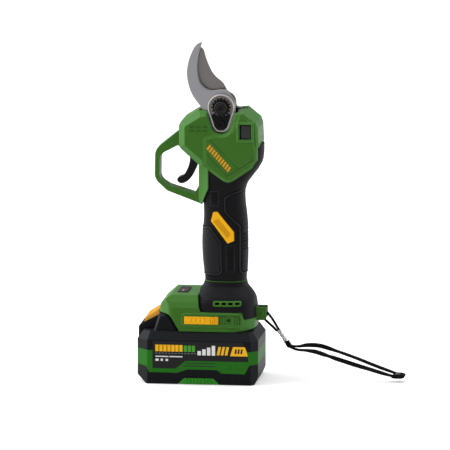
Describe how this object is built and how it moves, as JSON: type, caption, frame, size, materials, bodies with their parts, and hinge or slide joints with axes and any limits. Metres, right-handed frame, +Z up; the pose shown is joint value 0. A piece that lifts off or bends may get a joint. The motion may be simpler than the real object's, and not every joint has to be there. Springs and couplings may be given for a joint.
{
  "type": "battery electric pruner",
  "caption": "Cordless pruning shear with a hooked fixed blade, gear-driven cutting blade, trigger in a finger guard, display, slide-on battery pack and wrist lanyard.",
  "frame": {"origin": "on the drive axis, which the motor, gearbox and blade pivot share, in the plane the battery pack stands on", "axes": "+Z up along the grip towards the blades, +X away from the trigger, towards the lanyard, +Y towards the right-hand side of the tool, away from the adjusting nut"},
  "size_m": [0.2465, 0.0768, 0.3147],
  "materials": {
    "green_shell": "moulded, fine matt",
    "black_overmould": "soft matt",
    "black_plastic": "matt",
    "yellow_trim": "satin",
    "orange_button": "satin",
    "grey_button": "matt",
    "blade_steel": "satin ground",
    "cutter_steel": "ground, darker",
    "bright_steel": "bright",
    "dark_steel": "blackened",
    "gear_steel": "machined",
    "cast_alloy": "as cast",
    "lamination": "stacked laminations",
    "copper": "enamelled wire",
    "nickel_strip": "bright strip",
    "magnet": "coated",
    "bronze": "sintered",
    "fan_plastic": "matt",
    "board": "solder mask",
    "display_glass": "tinted clear",
    "pack_green": "moulded, satin",
    "pack_black": "moulded, fine texture",
    "label_film": "printed film, satin",
    "cell_case": "sleeved can",
    "cell_frame": "matt",
    "strap_webbing": "woven"
  },
  "bodies": {
    "housing": {"shell_left": "green_shell", "shell_right": "green_shell", "overmould_left": "black_overmould", "overmould_right": "black_overmould", "vent_grilles": "green_shell", "accent_plates": "yellow_trim", "fixed_blade": "blade_steel", "pivot_plate": "bright_steel", "adjusting_nut": "dark_steel", "nut_lock": "dark_steel", "lock_screw": "dark_steel", "pivot_bolt": "dark_steel", "pivot_bush": "bronze", "gear_head": "cast_alloy", "blade_screws": "bright_steel", "ring_gear": "gear_steel", "motor_plate": "cast_alloy", "motor_can": "dark_steel", "stator": "lamination", "windings": "copper", "bearings": "bright_steel", "trigger_pin": "bright_steel", "trigger_spring": "bright_steel", "hall_board": "board", "display_lens": "display_glass", "display_board": "board", "control_board": "board", "terminal_block": "black_plastic", "terminal_blades": "nickel_strip", "motor_leads": "copper", "foot_badges": "yellow_trim", "housing_screws": "dark_steel", "lanyard_pin": "bright_steel"},
    "blade": {"moving_blade": "cutter_steel", "sector_gear": "gear_steel"},
    "output": {"bevel_pinion": "gear_steel", "planet_carrier": "gear_steel"},
    "planet_1": {"planet_gear_1": "gear_steel"},
    "planet_2": {"planet_gear_2": "gear_steel"},
    "planet_3": {"planet_gear_3": "gear_steel"},
    "rotor": {"rotor_shaft": "gear_steel", "rotor_magnets": "magnet", "cooling_fan": "fan_plastic"},
    "trigger": {"trigger": "black_plastic", "trigger_magnet": "magnet"},
    "power_button": {"power_button": "grey_button"},
    "battery": {"pack_base": "pack_black", "pack_band": "pack_green", "pack_top_shell": "pack_black", "pack_labels": "label_film", "pack_side_pads": "pack_green", "battery_cells": "cell_case", "cell_holders": "cell_frame", "cell_straps": "nickel_strip", "pack_board": "board", "latch_spring": "bright_steel"},
    "latch": {"release_latch": "orange_button"},
    "lanyard": {"lanyard_cord": "strap_webbing", "lanyard_crimp": "bright_steel", "lanyard_strap": "strap_webbing"}
  },
  "joints": [
    {"name": "blade_pivot", "type": "hinge", "parent": "housing", "child": "blade", "pos_m": [0, 0, 0.255], "axis": [0, 1, 0], "range_deg": [0, 60]},
    {"name": "output_spin", "type": "hinge", "parent": "housing", "child": "output", "pos_m": [0, 0, 0.22], "axis": [0, 0, 1], "range_deg": [-5, 190]},
    {"name": "planet_1_spin", "type": "hinge", "parent": "output", "child": "planet_1", "pos_m": [0, 0.009, 0.2095], "axis": [0, 0, 1], "range_deg": [-490, 10]},
    {"name": "planet_2_spin", "type": "hinge", "parent": "output", "child": "planet_2", "pos_m": [-0.00779, -0.0045, 0.2095], "axis": [0, 0, 1], "range_deg": [-490, 10]},
    {"name": "planet_3_spin", "type": "hinge", "parent": "output", "child": "planet_3", "pos_m": [0.00779, -0.0045, 0.2095], "axis": [0, 0, 1], "range_deg": [-490, 10]},
    {"name": "rotor_spin", "type": "hinge", "parent": "housing", "child": "rotor", "pos_m": [0, 0, 0.175], "axis": [0, 0, 1], "range_deg": [-20, 920]},
    {"name": "trigger_pull", "type": "hinge", "parent": "housing", "child": "trigger", "pos_m": [-0.027, 0, 0.212], "axis": [0, -1, 0], "range_deg": [0, 15], "deforming": ["trigger_spring"]},
    {"name": "power_button_press", "type": "slide", "parent": "housing", "child": "power_button", "axis": [0, 0, -1], "range_m": [0, 0.001]},
    {"name": "battery_slide", "type": "slide", "parent": "housing", "child": "battery", "axis": [-1, 0, 0], "range_m": [0, 0.085]},
    {"name": "latch_press", "type": "slide", "parent": "battery", "child": "latch", "axis": [0, 0, -1], "range_m": [0, 0.004], "deforming": ["latch_spring"]},
    {"name": "lanyard_swing", "type": "hinge", "parent": "housing", "child": "lanyard", "pos_m": [0.036, 0, 0.0625], "axis": [0, -1, 0], "range_deg": [0, 60]}
  ],
  "couplings": [
    {"joint": "output_spin", "follows": "blade_pivot", "ratio": 3},
    {"joint": "planet_1_spin", "follows": "blade_pivot", "ratio": -8},
    {"joint": "planet_2_spin", "follows": "blade_pivot", "ratio": -8},
    {"joint": "planet_3_spin", "follows": "blade_pivot", "ratio": -8},
    {"joint": "rotor_spin", "follows": "blade_pivot", "ratio": 15}
  ]
}
